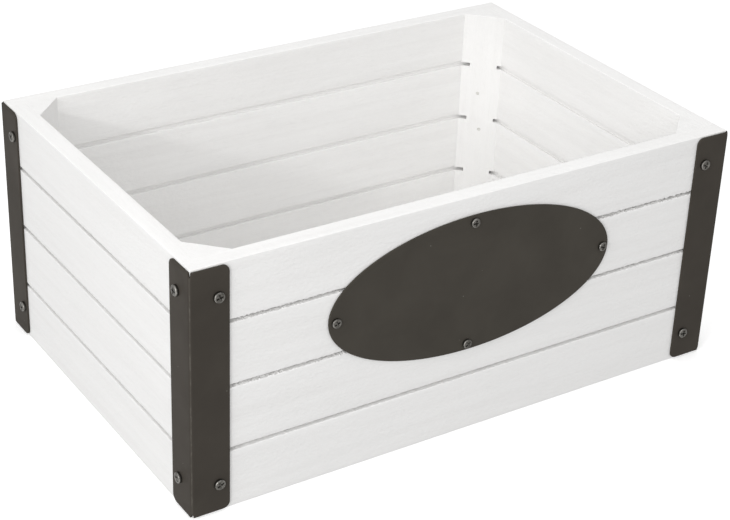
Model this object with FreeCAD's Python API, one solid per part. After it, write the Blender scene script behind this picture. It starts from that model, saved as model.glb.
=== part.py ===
"""Small open crate of painted boards with steel corner angles and a blank oval plate.

Each wall is four horizontal tongued boards, with a gap between them that their tongues close halfway
through: deep on the outside and shallow on the inside. Triangular posts stand inside the corners, where
brads hold the boards, and a steel angle is screwed over each corner. The bottom is a row of slats on
cleats.

Frame in millimetres: +X along the length, +Y from the front wall to the back wall, +Z up. The origin is
under the middle of the crate, on the surface that it stands on. The oval plate is on the front, at -Y.
"""

import FreeCAD, Part
import os

Vec = FreeCAD.Vector
UP = Vec(0, 0, 1)

# Wooden walls
LENGTH = 360.0
WIDTH = 240.0
HEIGHT = 154.0
BOARD_THICKNESS = 10.8
# The boards below the top one, from the bottom up; the top board takes up what is left of the height
LOWER_BOARD_HEIGHTS = (36.3, 37.8, 37.3)
GAP = 2.5
CORNER_EASE = 1.5

# Tongues: how far they lie behind the boards' outer and inner faces, and how far they enter the next board
TONGUE_BEHIND_OUTSIDE = 5.0
TONGUE_BEHIND_INSIDE = 2.0
TONGUE_INTO_BOARD = 3.0
TONGUE_PLAY = 0.2

# Corner posts: right-angled triangles that fill the inside corners
POST_LEG = 19.2
KERF_INTO_POST_LONG_WALL = 4.0
KERF_INTO_POST_END_WALL = 2.0

# Bottom
PLAY = 0.5
CLEAT_LIFT = 1.5
CLEAT_HEIGHT = 8.0
CLEAT_WIDTH = 12.0
BATTEN_WIDTH = 18.0
SLAT_COUNT = 5
SLAT_THICKNESS = 6.0
SLAT_GAP = 4.0

# Steel corner angles, each with one leg on a long wall and the other on an end wall
ANGLE_LONG_WALL_LEG = 22.4
ANGLE_END_WALL_LEG = 20.9
ANGLE_THICKNESS = 1.3
ANGLE_LENGTH = 152.0
ANGLE_RAISE = 1.0
ANGLE_END_RADIUS = 4.2
BEND_OUTER_RADIUS = 1.7
BEND_INNER_RADIUS = 0.5
BEND_NOTCH_WIDTH = 2.6
BEND_NOTCH_DEPTH = 2.8

# Oval plate
PLATE_LENGTH = 192.0
PLATE_HEIGHT = 86.8
PLATE_THICKNESS = 1.2
PLATE_CENTRE_X = -1.0
PLATE_CENTRE_Z = 99.2
PLATE_SCREW_INSET = 4.4
# The upper and the lower screw are a little off the plate's middle
PLATE_SCREW_SHIFT = -2.7

# Screws
SHANK_RADIUS = 1.5
SCREW_POINT = 2.5
SCREW_HOLE_RADIUS = 1.7
FIT = 0.05
ANGLE_SCREW_HEAD_RADIUS = 3.2
ANGLE_SCREW_HEAD_HEIGHT = 2.1
ANGLE_SCREW_LENGTH = 10.0
ANGLE_SCREW_FROM_CORNER_LONG_WALL = 15.6
ANGLE_SCREW_FROM_CORNER_END_WALL = {
    "front_left": 12.5,
    "front_right": 12.5,
    "back_left": 16.5,
    "back_right": 16.5,
}
ANGLE_SCREW_FROM_END = 17.6
# The screws of the end wall's leg are this much higher than those of the other
ANGLE_SCREW_STAGGER = 1.8
PLATE_SCREW_HEAD_RADIUS = 2.85
PLATE_SCREW_HEAD_HEIGHT = 1.9
PLATE_SCREW_LENGTH = 9.5
RECESS_SPAN = 3.4
RECESS_SLOT = 0.9
RECESS_DEPTH = 1.2

# Brads
BRAD_RADIUS = 0.7
BRAD_HEAD_RADIUS = 1.2
BRAD_HEAD_THICKNESS = 0.6
WALL_BRAD_LENGTH = 18.0
WALL_BRAD_FROM_CORNER = 19.5
WALL_BRAD_OFF_CENTRE = 9.0
POST_BRAD_LENGTH = 20.0
POST_BRAD_HEIGHTS = (70.0, 97.0)
POST_BRAD_OFF_CENTRE = 1.3
SLAT_BRAD_LENGTH = 12.0
CLEAT_BRAD_LENGTH = 17.0
CLEAT_BRAD_SPACING = 66.0

# Worked out from the driving dimensions
BOARDS_PER_WALL = len(LOWER_BOARD_HEIGHTS) + 1
BOARD_BOTTOMS = [sum(LOWER_BOARD_HEIGHTS[:level]) + GAP * level for level in range(BOARDS_PER_WALL)]
BOARD_TOPS = [bottom - GAP for bottom in BOARD_BOTTOMS[1:]] + [HEIGHT]
HALF_LENGTH = LENGTH / 2
HALF_WIDTH = WIDTH / 2
INNER_HALF_LENGTH = HALF_LENGTH - BOARD_THICKNESS
INNER_HALF_WIDTH = HALF_WIDTH - BOARD_THICKNESS
CLEAT_TOP = CLEAT_LIFT + CLEAT_HEIGHT
FLOOR_TOP = CLEAT_TOP + SLAT_THICKNESS
SLAT_WIDTH = (2 * (INNER_HALF_WIDTH - PLAY) - SLAT_GAP * (SLAT_COUNT - 1)) / SLAT_COUNT
CLEAT_END = INNER_HALF_WIDTH - POST_LEG - PLAY
CLEAT_CENTRE = INNER_HALF_LENGTH - CLEAT_WIDTH / 2

# Name of each corner, with the side of the crate that it is on along X and along Y
CORNERS = {
    "front_left": (-1, -1),
    "front_right": (1, -1),
    "back_left": (-1, 1),
    "back_right": (1, 1),
}


def box(x_span, y_span, z_span):
    """A box between two x, two y and two z values."""
    sizes = [high - low for low, high in (x_span, y_span, z_span)]
    return Part.makeBox(*sizes, Vec(x_span[0], y_span[0], z_span[0]))


def prism(points, along):
    """A solid swept from a closed outline of straight lines."""
    outline = Part.makePolygon(points + [points[0]])
    return Part.Face(outline).extrude(along)


def at_corner(shape, corner):
    """A copy for the named corner of a shape made for the front left one."""
    side_x, side_y = CORNERS[corner]
    if side_x > 0:
        shape = shape.mirror(Vec(), Vec(1, 0, 0))
    if side_y > 0:
        shape = shape.mirror(Vec(), Vec(0, 1, 0))
    return shape


def facing(shape, point, outward):
    """A copy of a fastener, moved from the origin and +Z to a point and the way its head faces."""
    shape = shape.copy()
    shape.Placement = FreeCAD.Placement(point, FreeCAD.Rotation(UP, outward))
    return shape


def drilled(solid, holes):
    """The solid less the holes that reach it."""
    near = [hole for hole in holes if hole.BoundBox.intersect(solid.BoundBox)]
    return solid.cut(near) if near else solid


def pan_head_screw(head_radius, head_height, length):
    """A screw with a rounded head and a cross recess, its head resting on z = 0."""
    head = Part.makeCylinder(head_radius, head_height)
    rim = [edge for edge in head.Edges if edge.BoundBox.ZMin > head_height / 2]
    head = head.makeFillet(head_height * 0.55, rim)
    straight = length - SCREW_POINT
    shank = Part.makeCylinder(SHANK_RADIUS, straight, Vec(), -UP)
    tip = Part.makeCone(SHANK_RADIUS, SHANK_RADIUS / 8, SCREW_POINT, Vec(0, 0, -straight), -UP)
    slot_z = (head_height - RECESS_DEPTH, head_height)
    long_half = RECESS_SPAN / 2
    slot_half = RECESS_SLOT / 2
    recess = box((-long_half, long_half), (-slot_half, slot_half), slot_z)
    recess = recess.fuse(box((-slot_half, slot_half), (-long_half, long_half), slot_z))
    return head.fuse([shank, tip]).removeSplitter().cut(recess)


def brad(length, extra=0.0):
    """A brad with its head flush at z = 0; extra widens it into the hole that it fills."""
    head = Part.makeCylinder(BRAD_HEAD_RADIUS + extra, BRAD_HEAD_THICKNESS, Vec(), -UP)
    shank = Part.makeCylinder(BRAD_RADIUS + extra, length, Vec(), -UP)
    return head.fuse(shank).removeSplitter()


def angle_screw_places(corner):
    """Head seats and directions of the four screws in a corner's angle, as for the front left corner."""
    bottom = ANGLE_RAISE
    x = -HALF_LENGTH + ANGLE_SCREW_FROM_CORNER_LONG_WALL
    y = -HALF_WIDTH + ANGLE_SCREW_FROM_CORNER_END_WALL[corner]
    places = []
    for z in (bottom + ANGLE_SCREW_FROM_END, bottom + ANGLE_LENGTH - ANGLE_SCREW_FROM_END):
        places.append((Vec(x, -HALF_WIDTH - ANGLE_THICKNESS, z), Vec(0, -1, 0)))
        places.append((Vec(-HALF_LENGTH - ANGLE_THICKNESS, y, z + ANGLE_SCREW_STAGGER), Vec(-1, 0, 0)))
    return places


def plate_screw_places():
    """Head seats and directions of the four screws near the ends of the oval plate's two axes."""
    reach_x = PLATE_LENGTH / 2 - PLATE_SCREW_INSET
    reach_z = PLATE_HEIGHT / 2 - PLATE_SCREW_INSET
    offsets = ((-reach_x, 0), (reach_x, 0), (PLATE_SCREW_SHIFT, -reach_z), (PLATE_SCREW_SHIFT, reach_z))
    centre = Vec(PLATE_CENTRE_X, -HALF_WIDTH - PLATE_THICKNESS, PLATE_CENTRE_Z)
    return [(centre + Vec(x, 0, z), Vec(0, -1, 0)) for x, z in offsets]


def wall_brad_places(outward):
    """Brads through the ends of the boards beside the front left post, on the wall facing outward."""
    places = []
    for bottom, top in zip(BOARD_BOTTOMS, BOARD_TOPS):
        middle = (bottom + top) / 2
        if outward.y:
            x = -HALF_LENGTH + WALL_BRAD_FROM_CORNER
            point = Vec(x, -HALF_WIDTH, middle + WALL_BRAD_OFF_CENTRE)
        else:
            y = -HALF_WIDTH + WALL_BRAD_FROM_CORNER
            point = Vec(-HALF_LENGTH, y, middle - WALL_BRAD_OFF_CENTRE)
        places.append((point, outward))
    return places


def post_brad_places():
    """Brads through the slanted face of the front left post, towards the corner of the walls."""
    outward = Vec(1, 1, 0).normalize()
    across = Vec(1, -1, 0).normalize()
    middle = Vec(-INNER_HALF_LENGTH + POST_LEG / 2, -INNER_HALF_WIDTH + POST_LEG / 2, 0)
    places = []
    for side, z in zip((-1, 1), POST_BRAD_HEIGHTS):
        places.append((middle + across * side * POST_BRAD_OFF_CENTRE + UP * z, outward))
    return places


def slat_centres():
    """The y of the middle of each bottom slat."""
    first = -INNER_HALF_WIDTH + PLAY + SLAT_WIDTH / 2
    return [first + slat * (SLAT_WIDTH + SLAT_GAP) for slat in range(SLAT_COUNT)]


def slat_brad_places():
    """Two brads where each slat crosses a cleat or the batten, less those that would meet a post."""
    places = []
    for x in (-CLEAT_CENTRE, 0, CLEAT_CENTRE):
        for centre in slat_centres():
            for y in (centre - SLAT_WIDTH / 4, centre + SLAT_WIDTH / 4):
                if x == 0 or abs(y) < CLEAT_END:
                    places.append((Vec(x, y, FLOOR_TOP), UP))
    return places


def cleat_brad_places():
    """Brads through the two end cleats into the end walls."""
    places = []
    for side in (-1, 1):
        for step in (-1, 0, 1):
            x = side * (INNER_HALF_LENGTH - CLEAT_WIDTH)
            point = Vec(x, step * CLEAT_BRAD_SPACING, CLEAT_LIFT + CLEAT_HEIGHT / 2)
            places.append((point, Vec(-side, 0, 0)))
    return places


def wall_span(side, half_size, outer_depth=0.0, inner_depth=0.0):
    """The two values across a wall, less a depth behind its outer and its inner face."""
    return sorted((side * (half_size - outer_depth), side * (half_size - BOARD_THICKNESS + inner_depth)))


def wall_board(wall, level):
    """One board: the long walls run the full length, and the end walls fit between them."""
    z_span = (BOARD_BOTTOMS[level], BOARD_TOPS[level])
    tongue_z = (BOARD_TOPS[level], BOARD_TOPS[level] + GAP + TONGUE_INTO_BOARD)
    groove_z = (BOARD_BOTTOMS[level], BOARD_BOTTOMS[level] + TONGUE_INTO_BOARD + TONGUE_PLAY)
    side = -1 if wall in ("front", "left") else 1
    if wall in ("left", "right"):
        along = (-INNER_HALF_WIDTH, INNER_HALF_WIDTH)
        half_size = HALF_LENGTH
    else:
        along = (-HALF_LENGTH, HALF_LENGTH)
        half_size = HALF_WIDTH

    def length_of(across, heights):
        """A full length of the wall with the given section."""
        if wall in ("left", "right"):
            return box(across, along, heights)
        return box(along, across, heights)

    board = length_of(wall_span(side, half_size), z_span)
    if wall in ("front", "back"):
        corners = [
            edge
            for edge in board.Edges
            if edge.BoundBox.ZLength > GAP and abs(edge.CenterOfMass.y) > INNER_HALF_WIDTH + CORNER_EASE
        ]
        board = board.makeFillet(CORNER_EASE, corners)
    if level > 0:
        groove = wall_span(
            side, half_size, TONGUE_BEHIND_OUTSIDE - TONGUE_PLAY, TONGUE_BEHIND_INSIDE - TONGUE_PLAY
        )
        board = board.cut(length_of(groove, groove_z))
    if level < BOARDS_PER_WALL - 1:
        tongue = wall_span(side, half_size, TONGUE_BEHIND_OUTSIDE, TONGUE_BEHIND_INSIDE)
        board = board.fuse(length_of(tongue, tongue_z)).removeSplitter()
    return board


def post_blank(leg):
    """The plain triangular prism of the front left post, with the given leg."""
    x = -INNER_HALF_LENGTH
    y = -INNER_HALF_WIDTH
    return prism([Vec(x, y, 0), Vec(x + leg, y, 0), Vec(x, y + leg, 0)], UP * HEIGHT)


def post():
    """The front left post, with the saw cuts that carry on the gaps of the walls in its hidden faces."""
    solid = post_blank(POST_LEG)
    x = -INNER_HALF_LENGTH
    y = -INNER_HALF_WIDTH
    for z_span in zip(BOARD_TOPS, BOARD_BOTTOMS[1:]):
        along_long_wall = box((x, x + POST_LEG), (y, y + KERF_INTO_POST_LONG_WALL), z_span)
        along_end_wall = box((x, x + KERF_INTO_POST_END_WALL), (y, y + POST_LEG), z_span)
        solid = solid.cut([along_long_wall, along_end_wall])
    return solid


def angle(corner):
    """The steel angle of a corner, as it would be on the front left one."""
    z_span = (ANGLE_RAISE, ANGLE_RAISE + ANGLE_LENGTH)
    middle_z = sum(z_span) / 2
    outer = (-HALF_LENGTH - ANGLE_THICKNESS, -HALF_WIDTH - ANGLE_THICKNESS)
    reach_x = (outer[0], -HALF_LENGTH + ANGLE_LONG_WALL_LEG)
    reach_y = (outer[1], -HALF_WIDTH + ANGLE_END_WALL_LEG)
    solid = box(reach_x, (outer[1], -HALF_WIDTH), z_span)
    solid = solid.fuse(box((outer[0], -HALF_LENGTH), reach_y, z_span)).removeSplitter()
    ends = []
    for edge in solid.Edges:
        centre = edge.CenterOfMass
        free_end = centre.x > reach_x[1] - 0.01 or centre.y > reach_y[1] - 0.01
        if free_end and abs(edge.Length - ANGLE_THICKNESS) < 0.01:
            ends.append(edge)
    solid = solid.makeFillet(ANGLE_END_RADIUS, ends)
    solid = rounded_bend(solid, Vec(*outer, middle_z), BEND_OUTER_RADIUS)
    solid = rounded_bend(solid, Vec(-HALF_LENGTH, -HALF_WIDTH, middle_z), BEND_INNER_RADIUS)
    hole = Part.makeCylinder(SCREW_HOLE_RADIUS, 4 * ANGLE_THICKNESS, Vec(0, 0, -2 * ANGLE_THICKNESS))
    holes = [facing(hole, *place) for place in angle_screw_places(corner)]
    return solid.cut(holes + bend_notches(z_span))


def rounded_bend(solid, middle, radius):
    """The solid with the upright edge that has its middle at the given point rounded."""
    edges = [e for e in solid.Edges if e.BoundBox.ZLength > 1 and e.CenterOfMass.isEqual(middle, 0.01)]
    return solid.makeFillet(radius, edges)


def bend_notches(z_span):
    """The small V cuts at the two ends of an angle's bend, at the front left corner."""
    outward = Vec(-1, -1, 0).normalize()
    across = Vec(1, -1, 0).normalize()
    start = Vec(-HALF_LENGTH, -HALF_WIDTH, 0) - outward * 2
    notches = []
    for end, inward in zip(z_span, (1, -1)):
        mouth = start + UP * (end - inward)
        tip = start + UP * (end + inward * BEND_NOTCH_DEPTH)
        spread = across * (BEND_NOTCH_WIDTH / 2) * (1 + 1 / BEND_NOTCH_DEPTH)
        notches.append(prism([mouth - spread, mouth + spread, tip], outward * 8))
    return notches


def oval_plate():
    """The flat elliptical plate on the front wall."""
    ellipse = Part.Ellipse(Vec(), PLATE_LENGTH / 2, PLATE_HEIGHT / 2).toShape()
    disc = Part.Face(Part.Wire([ellipse])).extrude(UP * PLATE_THICKNESS)
    disc.rotate(Vec(), Vec(1, 0, 0), 90)
    disc.translate(Vec(PLATE_CENTRE_X, -HALF_WIDTH, PLATE_CENTRE_Z))
    hole = Part.makeCylinder(SCREW_HOLE_RADIUS, 4 * PLATE_THICKNESS, Vec(0, 0, -2 * PLATE_THICKNESS))
    return disc.cut([facing(hole, *place) for place in plate_screw_places()])


def slat(number):
    """One lengthwise bottom slat, with its corners cut back from the posts where it meets them."""
    centre = slat_centres()[number]
    half_length = INNER_HALF_LENGTH - PLAY
    y_span = (centre - SLAT_WIDTH / 2, centre + SLAT_WIDTH / 2)
    solid = box((-half_length, half_length), y_span, (CLEAT_TOP, FLOOR_TOP))
    corners = [at_corner(post_blank(POST_LEG + 2 * PLAY), corner) for corner in CORNERS]
    return drilled(solid, corners)


def fastener_groups():
    """Each fastener node's solids, and the holes that its fasteners need in the wood."""
    angle_screw = pan_head_screw(ANGLE_SCREW_HEAD_RADIUS, ANGLE_SCREW_HEAD_HEIGHT, ANGLE_SCREW_LENGTH)
    plate_screw = pan_head_screw(PLATE_SCREW_HEAD_RADIUS, PLATE_SCREW_HEAD_HEIGHT, PLATE_SCREW_LENGTH)
    angle_pilot = Part.makeCylinder(SHANK_RADIUS + FIT, ANGLE_SCREW_LENGTH, Vec(), -UP)
    plate_pilot = Part.makeCylinder(SHANK_RADIUS + FIT, PLATE_SCREW_LENGTH, Vec(), -UP)
    groups = {}
    for corner in CORNERS:
        groups["angle_screws_" + corner] = [
            [at_corner(facing(solid, *place), corner) for place in angle_screw_places(corner)]
            for solid in (angle_screw, angle_pilot)
        ]
    groups["plate_screws"] = [
        [facing(solid, *place) for place in plate_screw_places()] for solid in (plate_screw, plate_pilot)
    ]
    walls = {
        "front": (Vec(0, -1, 0), ("front_left", "front_right")),
        "back": (Vec(0, -1, 0), ("back_left", "back_right")),
        "left": (Vec(-1, 0, 0), ("front_left", "back_left")),
        "right": (Vec(-1, 0, 0), ("front_right", "back_right")),
    }
    for wall, (outward, corners) in walls.items():
        groups[wall + "_wall_brads"] = [
            [
                at_corner(facing(solid, *place), corner)
                for corner in corners
                for place in wall_brad_places(outward)
            ]
            for solid in (brad(WALL_BRAD_LENGTH), brad(WALL_BRAD_LENGTH, FIT))
        ]
    groups["post_brads"] = [
        [at_corner(facing(solid, *place), corner) for corner in CORNERS for place in post_brad_places()]
        for solid in (brad(POST_BRAD_LENGTH), brad(POST_BRAD_LENGTH, FIT))
    ]
    groups["slat_brads"] = [
        [facing(solid, *place) for place in slat_brad_places()]
        for solid in (brad(SLAT_BRAD_LENGTH), brad(SLAT_BRAD_LENGTH, FIT))
    ]
    groups["cleat_brads"] = [
        [facing(solid, *place) for place in cleat_brad_places()]
        for solid in (brad(CLEAT_BRAD_LENGTH), brad(CLEAT_BRAD_LENGTH, FIT))
    ]
    return groups


def wooden_pieces():
    """Every wooden piece before its holes are drilled."""
    pieces = {}
    for wall in ("front", "back", "left", "right"):
        for level in range(BOARDS_PER_WALL):
            pieces["%s_board_%d" % (wall, level + 1)] = wall_board(wall, level)
    for corner in CORNERS:
        pieces["corner_post_" + corner] = at_corner(post(), corner)
    for number in range(SLAT_COUNT):
        pieces["bottom_slat_%d" % (number + 1)] = slat(number)
    cleat_x = (INNER_HALF_LENGTH - CLEAT_WIDTH, INNER_HALF_LENGTH)
    cleat_z = (CLEAT_LIFT, CLEAT_TOP)
    cleat = box(cleat_x, (-CLEAT_END, CLEAT_END), cleat_z)
    pieces["bottom_cleat_right"] = cleat
    pieces["bottom_cleat_left"] = cleat.mirror(Vec(), Vec(1, 0, 0))
    batten_y = INNER_HALF_WIDTH - PLAY
    pieces["bottom_batten"] = box((-BATTEN_WIDTH / 2, BATTEN_WIDTH / 2), (-batten_y, batten_y), cleat_z)
    return pieces


def export(name, solids):
    """Write one node, as its solid or as a group of separate solids."""
    shape = solids[0] if len(solids) == 1 else Part.makeCompound(solids)
    if not shape.isValid():
        raise ValueError(name + " is not a valid shape")
    shape.exportStep("parts/%s.step" % name)


def main():
    os.makedirs("parts", exist_ok=True)
    groups = fastener_groups()
    holes = [hole for _, group_holes in groups.values() for hole in group_holes]
    for name, piece in wooden_pieces().items():
        export(name, [drilled(piece, holes)])
    for corner in CORNERS:
        export("corner_angle_" + corner, [at_corner(angle(corner), corner)])
    export("oval_plate", [oval_plate()])
    for name, (solids, _) in groups.items():
        export(name, solids)


main()
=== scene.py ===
"""Looks of the small white crate: painted boards, powder-coated corner angles, blank oval plate and screws.

Everything is in metres in the frame of the CAD model: +X along the length, +Y from the front wall to the
back wall, +Z up. The viewer stands at the front left and looks down on the crate.
"""

import math

import bmesh
import bpy
import numpy as np
from mathutils import Matrix, Vector, noise


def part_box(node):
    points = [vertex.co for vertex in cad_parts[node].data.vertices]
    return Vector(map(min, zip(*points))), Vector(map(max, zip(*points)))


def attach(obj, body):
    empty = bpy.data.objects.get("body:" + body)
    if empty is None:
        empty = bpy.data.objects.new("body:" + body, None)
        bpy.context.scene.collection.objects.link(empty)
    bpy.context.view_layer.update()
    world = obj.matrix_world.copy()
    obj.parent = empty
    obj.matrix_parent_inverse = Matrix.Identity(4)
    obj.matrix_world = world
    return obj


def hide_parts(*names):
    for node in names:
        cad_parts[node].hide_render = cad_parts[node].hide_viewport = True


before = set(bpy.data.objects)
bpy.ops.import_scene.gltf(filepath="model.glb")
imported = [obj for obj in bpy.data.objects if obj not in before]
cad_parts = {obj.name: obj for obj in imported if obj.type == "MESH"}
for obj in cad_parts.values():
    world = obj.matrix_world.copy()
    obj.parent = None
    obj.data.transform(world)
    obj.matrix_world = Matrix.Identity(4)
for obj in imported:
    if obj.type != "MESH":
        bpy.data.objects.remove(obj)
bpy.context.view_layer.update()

MM = 0.001
BODY = "root"
WALLS = ("front", "back", "left", "right")
LEVELS = (1, 2, 3, 4)
CORNERS = {
    "front_left": (-1, -1),
    "front_right": (1, -1),
    "back_left": (-1, 1),
    "back_right": (1, 1),
}
# Faces of a box whose corner number has one bit for each axis
BOX_FACES = [(0, 1, 3, 2), (4, 6, 7, 5), (0, 4, 5, 1), (2, 3, 7, 6), (0, 2, 6, 4), (1, 5, 7, 3)]

# Camera
CAMERA_PLACE = Vector((-0.5533, -0.8462, 0.6075))
CAMERA_AZIMUTH = -33.389
CAMERA_ELEVATION = 28.638
CAMERA_ROLL = 2.239
CAMERA_LENS = 91.14

# Light
WORLD_STRENGTH = 0.56
KEY_POWER = 1.6
KEY_PLACE = Vector((-0.95, -0.68, 0.52))
KEY_SIZE = 0.05
OVERHEAD_POWER = 7.2
OVERHEAD_PLACE = Vector((0.0, 0.1, 1.5))
OVERHEAD_SIZE = 1.6
SIDE_POWER = 9.6
SIDE_PLACE = Vector((-1.5, -0.68, 0.82))
SIDE_SIZE = 1.0
FRONT_POWER = 3.4
FRONT_PLACE = Vector((-0.35, -1.3, 0.9))
FRONT_SIZE = 0.8
FLOOR_SIZE = 8.0
FLOOR_GLOW = 0.32
FLOOR_DROP = 0.1 * MM

# Wood
ARRIS = 0.4 * MM
INNER_ARRIS = 1.5 * MM
END_ARRIS = 0.2 * MM
ARRIS_STEPS = 4
WIDE_STEPS = 14
THIN_STEPS = 8
GAP = 2.5 * MM
WAVE_DEPTH = 0.08 * MM
# Lengths of the waves in a board's surface, along, across and through it, in metres
BOARD_WAVE = (0.055, 0.018, 0.02)
# The same for a post, up it and across its slanted face
POST_WAVE = (0.03, 0.02)
POST_STEPS = 12
SLATS = (1, 2, 3, 4, 5)
KERF_INTO_POST_LONG_WALL = 4.0 * MM
KERF_INTO_POST_END_WALL = 2.0 * MM
# How far pieces run into their neighbours, so that paint seems to fill the joints
PAINTED_IN = 0.7 * MM
# Tongue between two boards of a wall: how far it lies behind their outer and their inner face
TONGUE_BEHIND_OUTSIDE = 5.0 * MM
TONGUE_BEHIND_INSIDE = 2.0 * MM
# How far torn fibres stand into the gap under each level of boards, in the front wall and in the others
FRONT_FUZZ = (0.0, 0.35 * MM, 1.0 * MM, 1.1 * MM, 0.05 * MM)
OTHER_FUZZ = (0.0, 0.03 * MM, 0.05 * MM, 0.08 * MM, 0.0)
# Sizes of the torn fibres, along a board and through it, and of the patches where there are more of them
FINE_FIBRES = (0.8 * MM, 1.6 * MM)
COARSE_FIBRES = (2.6 * MM, 5.0 * MM)
FIBRE_PATCHES = 28 * MM
# Distance between the cross-sections of a board's mesh, in the front wall and in the others
FRONT_STATION = 0.5 * MM
OTHER_STATION = 1.3 * MM

# Corner angles
EDGE_ROUND = 0.28 * MM
BEND_RADIUS = 1.7 * MM
END_RADIUS = 4.2 * MM
NOTCH_HALF_WIDTH = 1.2 * MM
NOTCH_DEPTH = 2.8 * MM
# Width of the lighter band along each angle's outer bend: a painted highlight, broken up by chipped wear
WORN_BEND_HIGHLIGHT = 0.35 * MM
ANGLE_ROWS = 60
END_STEPS = 8
LEG_STEPS = 14
BEND_STEPS = 14

# Oval plate, with the sizes of the rings across its back and its front as shares of the whole
PLATE_SEGMENTS = 180
PLATE_RIM_STEPS = 5
PLATE_BACK_RINGS = (0.02, 0.5, 0.9)
PLATE_FRONT_RINGS = (0.985, 0.96, 0.9, 0.8, 0.65, 0.5, 0.35, 0.2, 0.08, 0.02)

# Screws
ANGLE_SCREW_STAGGER = 1.8 * MM
PLATE_SCREW_SHIFT = -2.7 * MM
ANGLE_HEAD_RADIUS = 3.2 * MM
ANGLE_SCREW_LENGTH = 10 * MM
PLATE_HEAD_RADIUS = 2.85 * MM
PLATE_SCREW_LENGTH = 9.5 * MM
SHANK_RADIUS = 1.5 * MM
POINT_RADIUS = 0.15 * MM
POINT_LENGTH = 2.5 * MM
HEAD_SEGMENTS = 40
HEAD_STEPS = 7
HEAD_BEVEL = 0.05 * MM
# Points of a carved screw that lie closer together than this are made one
WELD = 0.002 * MM
# Reach and half width of the cross recess's arms as shares of the head's radius, and depth of its height
RECESS_SPAN = 0.66
RECESS_SLOT = 0.18
RECESS_DEPTH = 0.62


# ---------------------------------------------------------------- meshes

def turn_outward(mesh):
    """Point every face of a closed mesh outward."""
    shaper = bmesh.new()
    shaper.from_mesh(mesh)
    bmesh.ops.recalc_face_normals(shaper, faces=shaper.faces)
    shaper.to_mesh(mesh)
    shaper.free()


def make_piece(name, points, faces, material, nodes, grain=None, wear_and_highlight=None, sharp=40):
    """A finished piece of the crate from plain lists of points and faces."""
    mesh = bpy.data.meshes.new(name)
    mesh.from_pydata([tuple(p) for p in points], [], faces)
    turn_outward(mesh)
    if grain is not None:
        attribute = mesh.attributes.new("grain", "FLOAT_VECTOR", "POINT")
        attribute.data.foreach_set("vector", np.asarray(grain, np.float32).ravel())
    if wear_and_highlight is not None:
        attribute = mesh.attributes.new("wear_and_highlight", "FLOAT", "POINT")
        attribute.data.foreach_set("value", np.asarray(wear_and_highlight, np.float32).ravel())
    mesh.shade_smooth()
    mesh.set_sharp_from_angle(angle=math.radians(sharp))
    mesh.materials.append(material)
    piece = bpy.data.objects.new(name, mesh)
    bpy.context.scene.collection.objects.link(piece)
    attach(piece, BODY)
    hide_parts(*nodes)
    return piece


def loft_faces(loops, count, first=0):
    """Faces of a closed solid through a stack of loops of equal length, capped at both ends."""
    faces = []
    for loop in range(loops - 1):
        low = first + loop * count
        high = low + count
        for k in range(count):
            after = (k + 1) % count
            faces.append((low + k, low + after, high + after, high + k))
    faces.append(tuple(first + k for k in reversed(range(count))))
    faces.append(tuple(first + (loops - 1) * count + k for k in range(count)))
    return faces


def spread(low, high, steps):
    """Evenly spaced values from low to high, both included."""
    return [low + (high - low) * k / steps for k in range(steps + 1)]


# ---------------------------------------------------------------- wood

def rounded_section(height, thickness, soft, inset):
    """Points (v, w) and outward normals round a rectangle with rounded corners.

    The section is centred on zero. soft holds the corners (sign of v, sign of w) that are rounded off more.
    Inset shrinks the section, to round off the ends of a board.
    """
    half_v = height / 2 - inset
    half_w = thickness / 2 - inset
    points = []
    normals = []

    def radius_at(sign_v, sign_w):
        radius = INNER_ARRIS if (sign_v, sign_w) in soft else ARRIS
        return max(radius - inset, radius * 0.2)

    def corner(sign_v, sign_w, start_angle):
        radius = radius_at(sign_v, sign_w)
        centre = (sign_v * (half_v - radius), sign_w * (half_w - radius))
        for k in range(ARRIS_STEPS + 1):
            angle = math.radians(start_angle + 90 * k / ARRIS_STEPS)
            normal = (math.cos(angle), math.sin(angle))
            points.append((centre[0] + radius * normal[0], centre[1] + radius * normal[1]))
            normals.append(normal)

    def wide_side(sign_w):
        start = sign_w * (half_v - radius_at(sign_w, sign_w))
        end = -sign_w * (half_v - radius_at(-sign_w, sign_w))
        for k in range(1, WIDE_STEPS):
            points.append((start + (end - start) * k / WIDE_STEPS, sign_w * half_w))
            normals.append((0, sign_w))

    def thin_side(sign_v):
        start = -sign_v * (half_w - radius_at(sign_v, -sign_v))
        end = sign_v * (half_w - radius_at(sign_v, sign_v))
        for k in range(1, THIN_STEPS):
            points.append((sign_v * half_v, start + (end - start) * k / THIN_STEPS))
            normals.append((sign_v, 0))

    corner(1, 1, 0)
    wide_side(1)
    corner(-1, 1, 90)
    thin_side(-1)
    corner(-1, -1, 180)
    wide_side(-1)
    corner(1, -1, 270)
    thin_side(1)
    return points, normals


def stations(length, step):
    """Pairs (u, inset) along a board, with its two ends rounded off."""
    ends = []
    for k in range(ARRIS_STEPS):
        angle = math.pi / 2 * k / ARRIS_STEPS
        ends.append((END_ARRIS * (1 - math.sin(angle)), END_ARRIS * (1 - math.cos(angle))))
    start = [(along, inset) for inset, along in ends]
    middle = [(u, 0.0) for u in spread(END_ARRIS, length - END_ARRIS, round(length / step))]
    finish = [(length - along, inset) for along, inset in reversed(start)]
    return start + middle + finish


def torn(u, w, seed):
    """How far torn fibres stand out of a sawn edge, from 0 to about 1."""
    fine = noise.noise(Vector((u / FINE_FIBRES[0], w / FINE_FIBRES[1], seed)))
    coarse = noise.noise(Vector((u / COARSE_FIBRES[0], w / COARSE_FIBRES[1], seed + 9.1)))
    patch = 0.55 + 0.45 * noise.noise(Vector((u / FIBRE_PATCHES, 0.0, seed + 4.7)))
    return min(1.0, max(0.0, 0.15 + fine * 2.4 + coarse * 0.8)) * patch


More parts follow.
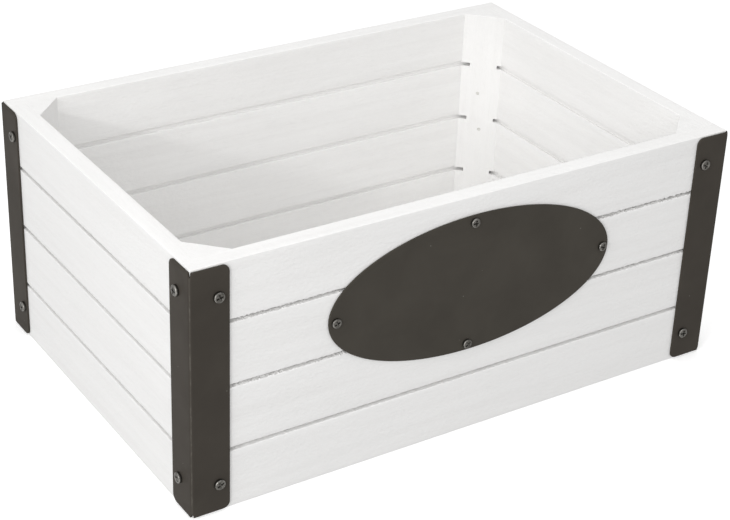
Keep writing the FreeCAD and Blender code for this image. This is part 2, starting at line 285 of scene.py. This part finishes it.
def board(name, low, high, along, nodes, seed, step=OTHER_STATION, fuzz=(0.0, 0.0), soft=(), tongue=None):
    """A painted board between two corners, its grain along axis 0, 1 or 2.

    fuzz is how far torn fibres stand out of its lower and its upper edge, soft holds the corners of its
    section that are rounded off more, and tongue is two corners of the strip on its upper edge.
    """
    across = 2 if along != 2 else 1
    deep = ({0, 1, 2} - {along, across}).pop()
    size = [high[k] - low[k] for k in range(3)]
    if size[deep] > size[across]:
        across, deep = deep, across
    middle = [(high[k] + low[k]) / 2 for k in range(3)]
    points = []
    grain = []
    rows = stations(size[along], step)
    for u, inset in rows:
        section, normals = rounded_section(size[across], size[deep], soft, inset)
        for (v, w), (normal_v, normal_w) in zip(section, normals):
            place = Vector((u / BOARD_WAVE[0], v / BOARD_WAVE[1] + seed, w / BOARD_WAVE[2]))
            wave = 0.5 + 0.5 * noise.noise(place)
            push = -WAVE_DEPTH * wave
            # Fibres stand out of the lower and the upper edge and fade out round the arrises
            edge = max(0.0, abs(normal_v) - 0.35) / 0.65
            tear = fuzz[1] if normal_v > 0 else fuzz[0]
            push_v = tear * edge * torn(u, w, seed + (3.0 if normal_v > 0 else 7.0))
            point = [0.0, 0.0, 0.0]
            point[along] = low[along] + u
            point[across] = middle[across] + v + normal_v * push
            point[across] += math.copysign(push_v, normal_v)
            point[deep] = middle[deep] + w + normal_w * push
            points.append(point)
            grain.append((u + seed, v + seed * 0.37, w + seed * 0.73))
    count = len(points) // len(rows)
    faces = loft_faces(len(rows), count)
    if tongue is not None:
        first = len(points)
        strip = [[tongue[(k >> axis) & 1][axis] for axis in range(3)] for k in range(8)]
        points += strip
        grain += [(p[along] + seed, p[across] + seed * 0.37, p[deep] + seed * 0.73) for p in strip]
        faces += [tuple(first + k for k in face) for face in BOX_FACES]
    return make_piece(name, points, faces, painted_wood, nodes, grain=grain)


def wall_boards():
    """The sixteen boards of the four walls, with the tongues that close the gaps between them."""
    for side, wall in enumerate(WALLS):
        fuzz = FRONT_FUZZ if wall == "front" else OTHER_FUZZ
        step = FRONT_STATION if wall == "front" else OTHER_STATION
        along, deep = (1, 0) if wall in ("left", "right") else (0, 1)
        inside = 1 if wall in ("front", "left") else -1
        for level in LEVELS:
            node = "%s_board_%d" % (wall, level)
            low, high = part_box(node)
            tears = (fuzz[level - 1], fuzz[level] if level < LEVELS[-1] else 0.0)
            seed = 0.61 * (side * len(LEVELS) + level)
            soft = [(-1, inside)] if level > LEVELS[0] else []
            tongue = None
            if level < LEVELS[-1]:
                next_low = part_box("%s_board_%d" % (wall, level + 1))[0].z
                tongue = (low.copy(), high.copy())
                tongue[1].z = next_low + PAINTED_IN
                high.z = next_low - GAP
                tongue[0].z = high.z - PAINTED_IN
                depths = (TONGUE_BEHIND_OUTSIDE, TONGUE_BEHIND_INSIDE)
                tongue[0][deep] += depths[0 if inside > 0 else 1]
                tongue[1][deep] -= depths[1 if inside > 0 else 0]
                tongue[0][along] += END_ARRIS
                tongue[1][along] -= END_ARRIS
            if along == 1:
                low.y -= PAINTED_IN
                high.y += PAINTED_IN
            board("painted_" + node, low, high, along, [node], seed, step, tears, soft, tongue)


def bottom_boards():
    """The slats, cleats and batten of the bottom."""
    trim = corner_trim()
    for number in SLATS:
        node = "bottom_slat_%d" % number
        low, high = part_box(node)
        piece = board("painted_" + node, low, high, 0, [node], 11.3 + number)
        if number in (SLATS[0], SLATS[-1]):
            clip_corners(piece, low, high, trim)
    for node in ("bottom_cleat_left", "bottom_cleat_right", "bottom_batten"):
        low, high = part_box(node)
        board("painted_" + node, low, high, 1, [node], 18.0 + len(node))


def corner_trim():
    """How far the slanted cut reaches along each edge of an outer slat, clear of the post."""
    post_low, post_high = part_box("corner_post_front_left")
    slat_low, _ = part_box("bottom_slat_1")
    play = slat_low.x - post_low.x
    return (post_high.x - post_low.x) + 2 * play - (slat_low.x - post_low.x) - (slat_low.y - post_low.y)


def clip_corners(piece, low, high, trim):
    """Cut the two outer corners of an end slat off at 45 degrees, beside the posts."""
    shaper = bmesh.new()
    shaper.from_mesh(piece.data)
    side = -1 if low.y + high.y < 0 else 1
    outer_y = low.y if side < 0 else high.y
    for end in (-1, 1):
        outer_x = low.x if end < 0 else high.x
        place = Vector((outer_x - end * trim, outer_y, 0))
        normal = Vector((end, side, 0)).normalized()
        everything = shaper.verts[:] + shaper.edges[:] + shaper.faces[:]
        cut = bmesh.ops.bisect_plane(
            shaper, geom=everything, plane_co=place, plane_no=normal, clear_outer=True
        )
        rim = [item for item in cut["geom_cut"] if isinstance(item, bmesh.types.BMEdge)]
        bmesh.ops.holes_fill(shaper, edges=rim, sides=0)
    bmesh.ops.recalc_face_normals(shaper, faces=shaper.faces)
    shaper.to_mesh(piece.data)
    shaper.free()


def corner_posts():
    """The triangular posts, with the saw cuts that carry on the gaps of the walls."""
    for index, (corner, (side_x, side_y)) in enumerate(CORNERS.items()):
        node = "corner_post_" + corner
        low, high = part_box(node)
        inner_x = low.x if side_x < 0 else high.x
        inner_y = low.y if side_y < 0 else high.y
        leg = high.x - low.x
        levels = [(low.z, False), (low.z + END_ARRIS, False)]
        for level in LEVELS[1:]:
            gap_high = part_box("front_board_%d" % level)[0].z
            gap_low = gap_high - GAP
            levels += [(z, False) for z in spread(levels[-1][0], gap_low, POST_STEPS)[1:]]
            levels += [(gap_low, True), (gap_high, True), (gap_high, False)]
        levels += [(z, False) for z in spread(levels[-1][0], high.z - END_ARRIS, POST_STEPS)[1:]]
        levels.append((high.z, False))
        points = []
        grain = []
        for z, sawn in levels:
            inset = END_ARRIS if z in (low.z, high.z) else 0.0
            start = (-PAINTED_IN, -PAINTED_IN)
            if sawn:
                start = (KERF_INTO_POST_END_WALL, KERF_INTO_POST_LONG_WALL)
            for a, b in triangle_outline(*start, leg - inset * 1.4):
                wave = noise.noise(Vector((z / POST_WAVE[0], (a - b) / POST_WAVE[1], index)))
                slant = WAVE_DEPTH * 0.5 * (1 + wave) if a + b > leg * 0.9 else 0.0
                points.append((inner_x - side_x * (a - slant), inner_y - side_y * (b - slant), z))
                grain.append((z + index * 0.31, (a - b) * 0.71, (a + b) * 0.71 + index * 0.17))
        count = len(points) // len(levels)
        faces = loft_faces(len(levels), count)
        make_piece("painted_" + node, points, faces, painted_wood, [node], grain=grain)


def triangle_outline(start_a, start_b, leg):
    """Points (a, b) round a post's section, measured from the walls' inside corner."""
    corners = [Vector((start_a, start_b)), Vector((leg - start_b, start_b)), Vector((start_a, leg - start_a))]
    outline = []
    for k, corner in enumerate(corners):
        steps = 10 if k == 1 else 4
        along = corners[(k + 1) % 3] - corner
        outline += [corner + along * (m / steps) for m in range(steps)]
    return outline


# ---------------------------------------------------------------- steel

def leg_stations(leg, thickness):
    """Pairs (distance, height cut) along one leg of a corner angle, from its free edge to the bend.

    The height cut is how much shorter the angle is there at each end.
    """
    pairs = []
    for k in range(END_STEPS + 1):
        sweep = math.radians(90 * k / END_STEPS)
        pairs.append((END_RADIUS * (1 - math.cos(sweep)), END_RADIUS * (1 - math.sin(sweep))))
    straight_end = leg + thickness - BEND_RADIUS
    for s in spread(END_RADIUS, straight_end, LEG_STEPS)[1:]:
        from_bend = straight_end + BEND_RADIUS * math.pi / 4 - s
        pairs.append((s, notch_cut(from_bend)))
    return pairs


def angle_path(offset, long_wall_leg, end_wall_leg, thickness):
    """Points (a, b, height cut, worn highlight) across a corner angle, from one free edge to the other.

    a and b are measured from the wood's corner, back along the long wall and out of it. Offset is how far
    inside the outer face the surface lies.
    """
    out = thickness - offset
    radius = BEND_RADIUS - offset
    centre = thickness - BEND_RADIUS
    path = [(long_wall_leg - s, out, cut, 0.0) for s, cut in leg_stations(long_wall_leg, thickness)]
    for k in range(1, BEND_STEPS):
        sweep = math.radians(90 * k / BEND_STEPS)
        from_bend = BEND_RADIUS * abs(math.pi / 4 - sweep)
        a = -centre - radius * math.sin(sweep)
        b = centre + radius * math.cos(sweep)
        # The middle of the bend is marked for a lighter colour: a painted highlight, partly broken into
        # chipped wear
        path.append((a, b, notch_cut(from_bend), math.exp(-((from_bend / WORN_BEND_HIGHLIGHT) ** 2))))
    path += [(-out, s - end_wall_leg, cut, 0.0) for s, cut in reversed(leg_stations(end_wall_leg, thickness))]
    return path


def notch_cut(from_bend):
    """Depth of the V cut at the end of the bend, at a distance round the bend from its middle."""
    return NOTCH_DEPTH * max(0.0, 1.0 - from_bend / NOTCH_HALF_WIDTH)


def corner_angles():
    """The four steel angles, each a bent sheet with rounded ends, eased edges and a notched bend."""
    for index, (corner, (side_x, side_y)) in enumerate(CORNERS.items()):
        node = "corner_angle_" + corner
        low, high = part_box(node)
        wood_low, wood_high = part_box("front_board_1")
        thickness = abs(low.x if side_x < 0 else high.x) - wood_high.x
        long_wall_leg = (high.x - low.x) - thickness
        end_wall_leg = (high.y - low.y) - thickness
        corner_x = side_x * wood_high.x
        corner_y = side_y * abs(wood_low.y)
        rings = [
            (0.0, EDGE_ROUND),
            (EDGE_ROUND * 0.29, EDGE_ROUND * 0.29),
            (EDGE_ROUND, 0.0),
            (thickness - EDGE_ROUND, 0.0),
            (thickness - EDGE_ROUND * 0.29, EDGE_ROUND * 0.29),
            (thickness, EDGE_ROUND),
        ]
        points = []
        wear_and_highlight = []
        for offset, inset in rings:
            path = angle_path(offset, long_wall_leg - inset, end_wall_leg - inset, thickness)
            for a, b, cut, worn_highlight in path:
                for t in spread(0.0, 1.0, ANGLE_ROWS):
                    z_low = low.z + cut + inset
                    z_high = high.z - cut - inset
                    z = z_low + (z_high - z_low) * t
                    # a runs along the front or back face and b stands out of it
                    points.append((corner_x - side_x * a, corner_y + side_y * b, z))
                    # Only the outer face takes the bend's painted highlight and wear
                    wear_and_highlight.append(worn_highlight if offset < thickness / 2 else 0.0)
        columns = len(points) // len(rings) // (ANGLE_ROWS + 1)
        faces = sheet_faces(len(rings), columns, ANGLE_ROWS + 1)
        make_piece("coated_" + node, points, faces, black_steel, [node], wear_and_highlight=wear_and_highlight, sharp=60)


def sheet_faces(rings, columns, rows):
    """Faces of a thick sheet: the first and last ring are its two surfaces, and the others its edge."""
    size = columns * rows
    faces = []
    for ring in (0, rings - 1):
        for c in range(columns - 1):
            for r in range(rows - 1):
                k = ring * size + c * rows + r
                faces.append((k, k + rows, k + rows + 1, k + 1))
    border = [c * rows for c in range(columns)]
    border += [(columns - 1) * rows + r for r in range(1, rows)]
    border += [c * rows + rows - 1 for c in range(columns - 2, -1, -1)]
    border += [r for r in range(rows - 2, 0, -1)]
    for ring in range(rings - 1):
        for k, here in enumerate(border):
            after = border[(k + 1) % len(border)]
            base = ring * size
            faces.append((base + here, base + after, base + size + after, base + size + here))
    return faces


def oval_plate():
    """The flat, blank elliptical plate with an eased rim."""
    low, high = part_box("oval_plate")
    centre = (low + high) / 2
    half_x = (high.x - low.x) / 2
    half_z = (high.z - low.z) / 2
    thickness = high.y - low.y
    profile = [(EDGE_ROUND, 0.0), (0.0, EDGE_ROUND)]
    for k in range(PLATE_RIM_STEPS + 1):
        sweep = math.radians(90 * k / PLATE_RIM_STEPS)
        rise = thickness - EDGE_ROUND * (1 - math.sin(sweep))
        profile.append((EDGE_ROUND * (1 - math.cos(sweep)), rise))
    points = []

    def ring(shrink_x, shrink_z, y):
        for k in range(PLATE_SEGMENTS):
            angle = 2 * math.pi * k / PLATE_SEGMENTS
            x = centre.x + (half_x - shrink_x) * math.cos(angle)
            z = centre.z + (half_z - shrink_z) * math.sin(angle)
            points.append((x, y, z))

    for scale in PLATE_BACK_RINGS:
        ring(half_x * (1 - scale), half_z * (1 - scale), high.y)
    for inset, rise in profile:
        ring(inset, inset, high.y - rise)
    for scale in PLATE_FRONT_RINGS:
        ring(half_x * (1 - scale), half_z * (1 - scale), low.y)
    faces = loft_faces(len(points) // PLATE_SEGMENTS, PLATE_SEGMENTS)
    make_piece("coated_oval_plate", points, faces, plate_steel, ["oval_plate"])


# ---------------------------------------------------------------- screws and brads

def revolved(profile):
    """Points of rings (radius, height) about +Z."""
    points = []
    for radius, height in profile:
        for k in range(HEAD_SEGMENTS):
            angle = 2 * math.pi * k / HEAD_SEGMENTS
            points.append(Vector((radius * math.cos(angle), radius * math.sin(angle), height)))
    return points


def screw_mesh(name, radius, height, length):
    """A pan head screw about +Z with a tapered cross recess, its head resting on z = 0."""
    profile = [(POINT_RADIUS, -length), (SHANK_RADIUS, -length + POINT_LENGTH)]
    profile += [(SHANK_RADIUS, -0.02 * MM), (SHANK_RADIUS, 0.0)]
    profile += [(radius * 0.97, 0.0), (radius, 0.12 * height), (radius, 0.45 * height)]
    for k in range(1, HEAD_STEPS + 1):
        sweep = math.radians(90 * k / HEAD_STEPS)
        inward = 0.2 * radius * (1 - math.cos(sweep))
        profile.append((radius - inward, height * (0.45 + 0.5 * math.sin(sweep))))
    profile += [(radius * 0.6, height * 0.985), (radius * 0.3, height), (radius * 0.05, height)]
    body = bpy.data.meshes.new(name)
    body.from_pydata(revolved(profile), [], loft_faces(len(profile), HEAD_SEGMENTS))
    cutter = bpy.data.meshes.new(name + "_recess")
    span = radius * RECESS_SPAN
    slot = radius * RECESS_SLOT
    loops = []
    for z, reach, half in (
        (height * 1.2, span * 1.1, slot * 1.1),
        (height * (1 - RECESS_DEPTH * 0.55), span * 0.85, slot * 0.85),
        (height * (1 - RECESS_DEPTH), span * 0.4, slot * 0.6),
    ):
        loops += [Vector((x, y, z)) for x, y in cross_outline(reach, half)]
    cutter.from_pydata(loops, [], loft_faces(3, 12))
    return carved(body, cutter)


def cross_outline(reach, half):
    """The twelve corners of a plus sign."""
    arm = [(reach, -half), (reach, half), (half, half)]
    outline = []
    for k in range(4):
        turn = Matrix.Rotation(math.pi / 2 * k, 2)
        outline += [tuple(turn @ Vector(p)) for p in arm]
    return outline


def carved(body, cutter):
    """The body less the cutter, with eased edges, as a new mesh."""
    turn_outward(body)
    turn_outward(cutter)
    whole = bpy.data.objects.new("whole", body)
    tool = bpy.data.objects.new("tool", cutter)
    for item in (whole, tool):
        bpy.context.scene.collection.objects.link(item)
    cut = whole.modifiers.new("cut", "BOOLEAN")
    cut.object = tool
    cut.operation = "DIFFERENCE"
    cut.solver = "EXACT"
    ease = whole.modifiers.new("ease", "BEVEL")
    ease.width = HEAD_BEVEL
    ease.segments = 2
    ease.limit_method = "ANGLE"
    ease.angle_limit = math.radians(50)
    bpy.context.view_layer.update()
    graph = bpy.context.evaluated_depsgraph_get()
    result = bpy.data.meshes.new_from_object(whole.evaluated_get(graph))
    shaper = bmesh.new()
    shaper.from_mesh(result)
    bmesh.ops.remove_doubles(shaper, verts=shaper.verts, dist=WELD)
    shaper.to_mesh(result)
    shaper.free()
    for item in (whole, tool):
        bpy.data.objects.remove(item)
    return result


def placed_copies(name, mesh, places, material, nodes, radius, height):
    """One piece of several copies of a fastener, each at (point, outward, turn)."""
    points = []
    faces = []
    wear_and_highlight = []
    for point, outward, turn in places:
        aim = outward.to_track_quat("Z", "Y").to_matrix() @ Matrix.Rotation(turn, 3, "Z")
        first = len(points)
        for vertex in mesh.vertices:
            points.append(aim @ vertex.co + point)
            rim = math.hypot(vertex.co.x, vertex.co.y) / radius
            high = vertex.co.z / height
            # The top rim of each head is marked for a lighter colour: worn steel and a painted highlight
            wear_and_highlight.append(max(0.0, 1.0 - abs(rim - 0.93) / 0.12) if high > 0.6 else 0.0)
        faces += [tuple(first + k for k in face.vertices) for face in mesh.polygons]
    return make_piece(name, points, faces, material, nodes, wear_and_highlight=wear_and_highlight, sharp=35)


def screws():
    """The pan head screws of the four angles and of the oval plate."""
    angle_low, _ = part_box("corner_angle_front_left")
    group_low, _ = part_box("angle_screws_front_left")
    head = ANGLE_HEAD_RADIUS
    height = angle_low.x - group_low.x
    mesh = screw_mesh("angle_screw", head, height, ANGLE_SCREW_LENGTH)
    for index, (corner, (side_x, side_y)) in enumerate(CORNERS.items()):
        node = "angle_screws_" + corner
        low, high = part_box(node)
        inner_x = (high.x - head) if side_x < 0 else (low.x + head)
        inner_y = (high.y - head) if side_y < 0 else (low.y + head)
        seat_x = side_x * abs(angle_low.x)
        seat_y = side_y * abs(angle_low.y)
        places = []
        for k, z in enumerate((low.z + head, high.z - head - ANGLE_SCREW_STAGGER)):
            turn = 0.5 + 1.3 * (2 * index + k)
            end_wall_z = z + ANGLE_SCREW_STAGGER
            places.append((Vector((inner_x, seat_y, z)), Vector((0, side_y, 0)), turn))
            places.append((Vector((seat_x, inner_y, end_wall_z)), Vector((side_x, 0, 0)), turn * 1.7))
        placed_copies("phosphated_" + node, mesh, places, screw_steel, [node], head, height)
    low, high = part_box("plate_screws")
    plate_low, plate_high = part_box("oval_plate")
    head = PLATE_HEAD_RADIUS
    height = plate_low.y - low.y
    mesh = screw_mesh("plate_screw", head, height, PLATE_SCREW_LENGTH)
    middle = (plate_low + plate_high) / 2
    spots = [
        (low.x + head, middle.z),
        (high.x - head, middle.z),
        (middle.x + PLATE_SCREW_SHIFT, low.z + head),
        (middle.x + PLATE_SCREW_SHIFT, high.z - head),
    ]
    places = [
        (Vector((x, plate_low.y, z)), Vector((0, -1, 0)), 0.4 + 0.9 * k) for k, (x, z) in enumerate(spots)
    ]
    placed_copies(
        "phosphated_plate_screws", mesh, places, screw_steel, ["plate_screws"], head, height
    )


# ---------------------------------------------------------------- materials

class Nodes:
    """A short way to build a material's node tree."""

    def __init__(self, name):
        self.material = bpy.data.materials.new(name)
        self.material.use_nodes = True
        self.tree = self.material.node_tree
        self.shader = self.tree.nodes["Principled BSDF"]

    def add(self, kind, **settings):
        node = self.tree.nodes.new("ShaderNode" + kind)
        for key, value in settings.items():
            setattr(node, key, value)
        return node

    def link(self, output, socket):
        self.tree.links.new(output, socket)

    def attribute(self, name):
        return self.add("Attribute", attribute_name=name)

    def stretched(self, source, scale, shift=(0.0, 0.0, 0.0)):
        mapping = self.add("Mapping")
        mapping.inputs["Scale"].default_value = scale
        mapping.inputs["Location"].default_value = shift
        self.link(source, mapping.inputs["Vector"])
        return mapping.outputs["Vector"]

    def noise(self, source, detail=3.0, roughness=0.55, distortion=0.0):
        node = self.add("TexNoise")
        node.inputs["Scale"].default_value = 1.0
        node.inputs["Detail"].default_value = detail
        node.inputs["Roughness"].default_value = roughness
        node.inputs["Distortion"].default_value = distortion
        self.link(source, node.inputs["Vector"])
        return node.outputs["Fac"]

    def ramp(self, source, stops):
        """Fac to colour, or to a grey value, by (position, colour or value) stops."""
        node = self.add("ValToRGB")
        elements = node.color_ramp.elements
        while len(elements) < len(stops):
            elements.new(0.5)
        for element, (position, value) in zip(elements, stops):
            element.position = position
            element.color = (*value, 1.0) if isinstance(value, tuple) else (value, value, value, 1.0)
        self.link(source, node.inputs["Fac"])
        return node.outputs["Color"]

    def mixed(self, factor, first, second, blend="MIX"):
        node = self.add("Mix", data_type="RGBA", blend_type=blend)
        for value, socket in ((factor, 0), (first, 6), (second, 7)):
            if isinstance(value, (int, float)):
                node.inputs[socket].default_value = value
            elif isinstance(value, tuple):
                node.inputs[socket].default_value = (*value, 1.0)
            else:
                self.link(value, node.inputs[socket])
        return node.outputs[2]

    def combine(self, operation, first, second):
        node = self.add("Math", operation=operation)
        for k, value in enumerate((first, second)):
            if isinstance(value, (int, float)):
                node.inputs[k].default_value = value
            else:
                self.link(value, node.inputs[k])
        return node.outputs[0]

    def bump(self, height, strength, distance, before=None):
        node = self.add("Bump")
        node.inputs["Strength"].default_value = strength
        node.inputs["Distance"].default_value = distance
        self.link(height, node.inputs["Height"])
        if before is not None:
            self.link(before, node.inputs["Normal"])
        return node.outputs["Normal"]


def make_painted_wood():
    """Thin matt white paint over softwood: grain telegraphs through, with faint streaks and specks."""
    m = Nodes("painted_wood")
    grain = m.attribute("grain").outputs["Vector"]
    streak = m.noise(m.stretched(grain, (7.0, 160.0, 160.0)), detail=4, distortion=0.6)
    cloud = m.noise(m.stretched(grain, (14.0, 30.0, 30.0), (3.0, 1.0, 2.0)), detail=2)
    fibre = m.noise(m.stretched(grain, (120.0, 1500.0, 1500.0)), detail=3, roughness=0.65)
    fleck = m.noise(m.stretched(grain, (330.0, 620.0, 620.0), (5.0, 5.0, 5.0)), detail=3)
    base = m.ramp(streak, [(0.30, (0.894, 0.887, 0.877)), (0.62, (0.923, 0.918, 0.909))])
    patchy = m.ramp(cloud, [(0.3, 0.975), (0.7, 1.0)])
    colour = m.mixed(1.0, base, patchy, "MULTIPLY")
    thin = m.ramp(fibre, [(0.25, 0.955), (0.45, 1.0)])
    colour = m.mixed(1.0, colour, thin, "MULTIPLY")
    m.link(colour, m.shader.inputs["Base Color"])
    rough = m.ramp(cloud, [(0.3, 0.52), (0.7, 0.66)])
    m.link(rough, m.shader.inputs["Roughness"])
    m.shader.inputs["Specular IOR Level"].default_value = 0.35
    waves = m.bump(streak, 0.25, 0.15 * MM)
    fibres = m.bump(fibre, 0.25, 0.08 * MM, waves)
    flecks = m.bump(fleck, 1.0, 0.32 * MM, fibres)
    m.link(flecks, m.shader.inputs["Normal"])
    return m.material


def make_coated_steel(name, tone, gloss):
    """Warm black powder coat with a fine orange peel, faint smudges, a few specks and a bend painted lighter:
    chipped wear plus a painted highlight.
    """
    m = Nodes(name)
    place = m.add("TexCoord").outputs["Object"]
    smudge = m.noise(m.stretched(place, (30.0, 30.0, 30.0)), detail=3, distortion=0.4)
    peel = m.noise(m.stretched(place, (1400.0, 1400.0, 1400.0)), detail=2)
    chips = m.noise(m.stretched(place, (700.0, 700.0, 260.0)), detail=3)
    specks = m.add("TexVoronoi", feature="F1")
    specks.inputs["Scale"].default_value = 95.0
    m.link(place, specks.inputs["Vector"])
    dots = m.ramp(specks.outputs["Distance"], [(0.018, 1.0), (0.035, 0.0)])
    base = m.ramp(smudge, [(0.3, tuple(0.92 * c for c in tone)), (0.7, tuple(1.08 * c for c in tone))])
    # The marked bend turns lighter grey: a painted highlight, broken up by the chips as worn coat
    wear_and_highlight = m.attribute("wear_and_highlight").outputs["Fac"]
    worn_highlight = m.combine("MULTIPLY", wear_and_highlight, m.ramp(chips, [(0.48, 0.35), (0.68, 1.0)]))
    colour = m.mixed(worn_highlight, base, (0.13, 0.12, 0.105))
    colour = m.mixed(m.combine("MULTIPLY", dots, 0.35), colour, (0.42, 0.40, 0.38))
    m.link(colour, m.shader.inputs["Base Color"])
    m.link(m.ramp(smudge, [(0.3, gloss + 0.03), (0.7, gloss - 0.03)]), m.shader.inputs["Roughness"])
    m.shader.inputs["Specular IOR Level"].default_value = 0.04
    skin = m.bump(peel, 0.06, 0.10 * MM)
    m.link(skin, m.shader.inputs["Normal"])
    return m.material


def make_screw_steel():
    """Black phosphated steel with the rim of each head lighter: partly worn steel, partly a painted
    highlight.
    """
    m = Nodes("screw_steel")
    place = m.add("TexCoord").outputs["Object"]
    grime = m.noise(m.stretched(place, (420.0, 420.0, 420.0)), detail=3)
    base = m.ramp(grime, [(0.35, (0.075, 0.071, 0.064)), (0.65, (0.125, 0.120, 0.110))])
    # The marked rim turns lighter, partly worn steel and partly a painted highlight
    wear_and_highlight = m.attribute("wear_and_highlight").outputs["Fac"]
    worn_highlight = m.combine("MULTIPLY", wear_and_highlight, m.ramp(grime, [(0.35, 0.35), (0.6, 1.0)]))
    m.link(m.mixed(worn_highlight, base, (0.30, 0.29, 0.27)), m.shader.inputs["Base Color"])
    m.link(m.ramp(grime, [(0.3, 0.46), (0.7, 0.32)]), m.shader.inputs["Roughness"])
    m.shader.inputs["Metallic"].default_value = 1.0
    m.link(m.bump(grime, 0.12, 0.08 * MM), m.shader.inputs["Normal"])
    return m.material


def make_brad_steel():
    """Wire brads, mostly painted over with the wood."""
    m = Nodes("brad_steel")
    place = m.add("TexCoord").outputs["Object"]
    grime = m.noise(m.stretched(place, (900.0, 900.0, 900.0)), detail=2)
    base = m.ramp(grime, [(0.35, (0.55, 0.54, 0.51)), (0.6, (0.74, 0.73, 0.70))])
    m.link(base, m.shader.inputs["Base Color"])
    m.link(m.ramp(grime, [(0.3, 0.60), (0.7, 0.45)]), m.shader.inputs["Roughness"])
    m.link(m.bump(grime, 0.2, 0.05 * MM), m.shader.inputs["Normal"])
    return m.material


def make_floor_white():
    """A seamless white studio table."""
    m = Nodes("floor_white")
    place = m.add("TexCoord").outputs["Object"]
    soft = m.noise(m.stretched(place, (3.0, 3.0, 3.0)), detail=2)
    m.link(m.ramp(soft, [(0.3, 0.93), (0.7, 0.95)]), m.shader.inputs["Base Color"])
    m.shader.inputs["Roughness"].default_value = 0.8
    m.shader.inputs["Specular IOR Level"].default_value = 0.1
    m.shader.inputs["Emission Color"].default_value = (1.0, 1.0, 1.0, 1.0)
    m.shader.inputs["Emission Strength"].default_value = FLOOR_GLOW
    return m.material


# ---------------------------------------------------------------- studio

def softbox(name, place, size, power):
    """A square soft light that faces the crate."""
    light = bpy.data.lights.new(name, "AREA")
    light.energy = power
    light.shape = "SQUARE"
    light.size = size
    box = bpy.data.objects.new(name, light)
    box.location = place
    box.rotation_euler = place.to_track_quat("Z", "Y").to_euler()
    bpy.context.scene.collection.objects.link(box)


def studio():
    """Floor, lights and camera."""
    half = FLOOR_SIZE / 2
    mesh = bpy.data.meshes.new("floor")
    outline = [(x * half, y * half, -FLOOR_DROP) for x, y in ((-1, -1), (1, -1), (1, 1), (-1, 1))]
    mesh.from_pydata(outline, [], [(0, 1, 2, 3)])
    mesh.materials.append(make_floor_white())
    floor = bpy.data.objects.new("floor", mesh)
    bpy.context.scene.collection.objects.link(floor)
    # The table shows white but throws no light up on the walls, which are lit as if it stood on grey paper
    floor.visible_diffuse = False

    world = bpy.data.worlds.new("studio")
    world.use_nodes = True
    background = world.node_tree.nodes["Background"]
    background.inputs["Color"].default_value = (1.0, 1.0, 1.0, 1.0)
    background.inputs["Strength"].default_value = WORLD_STRENGTH
    bpy.context.scene.world = world

    softbox("key", KEY_PLACE, KEY_SIZE, KEY_POWER)
    softbox("overhead", OVERHEAD_PLACE, OVERHEAD_SIZE, OVERHEAD_POWER)
    softbox("side", SIDE_PLACE, SIDE_SIZE, SIDE_POWER)
    softbox("front", FRONT_PLACE, FRONT_SIZE, FRONT_POWER)

    lens = bpy.data.cameras.new("camera")
    lens.lens = CAMERA_LENS
    lens.sensor_width = 36.0
    lens.clip_start = 0.05
    camera = bpy.data.objects.new("camera", lens)
    tilt = Matrix.Rotation(math.radians(90 - CAMERA_ELEVATION), 4, "X")
    roll = Matrix.Rotation(math.radians(CAMERA_ROLL), 4, "Z")
    turn = Matrix.Rotation(math.radians(CAMERA_AZIMUTH), 4, "Z")
    camera.matrix_world = Matrix.Translation(CAMERA_PLACE) @ turn @ tilt @ roll
    bpy.context.scene.collection.objects.link(camera)
    bpy.context.scene.camera = camera
    bpy.context.scene.view_settings.view_transform = "Standard"


painted_wood = make_painted_wood()
black_steel = make_coated_steel("black_steel", (0.058, 0.051, 0.043), 0.55)
plate_steel = make_coated_steel("plate_steel", (0.062, 0.056, 0.047), 0.50)
screw_steel = make_screw_steel()
brad_steel = make_brad_steel()

wall_boards()
bottom_boards()
corner_posts()
corner_angles()
oval_plate()
screws()
# The brads keep the shape of the CAD model and only get a look
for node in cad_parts:
    if node.endswith("brads"):
        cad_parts[node].data.materials.clear()
        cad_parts[node].data.materials.append(brad_steel)
studio()
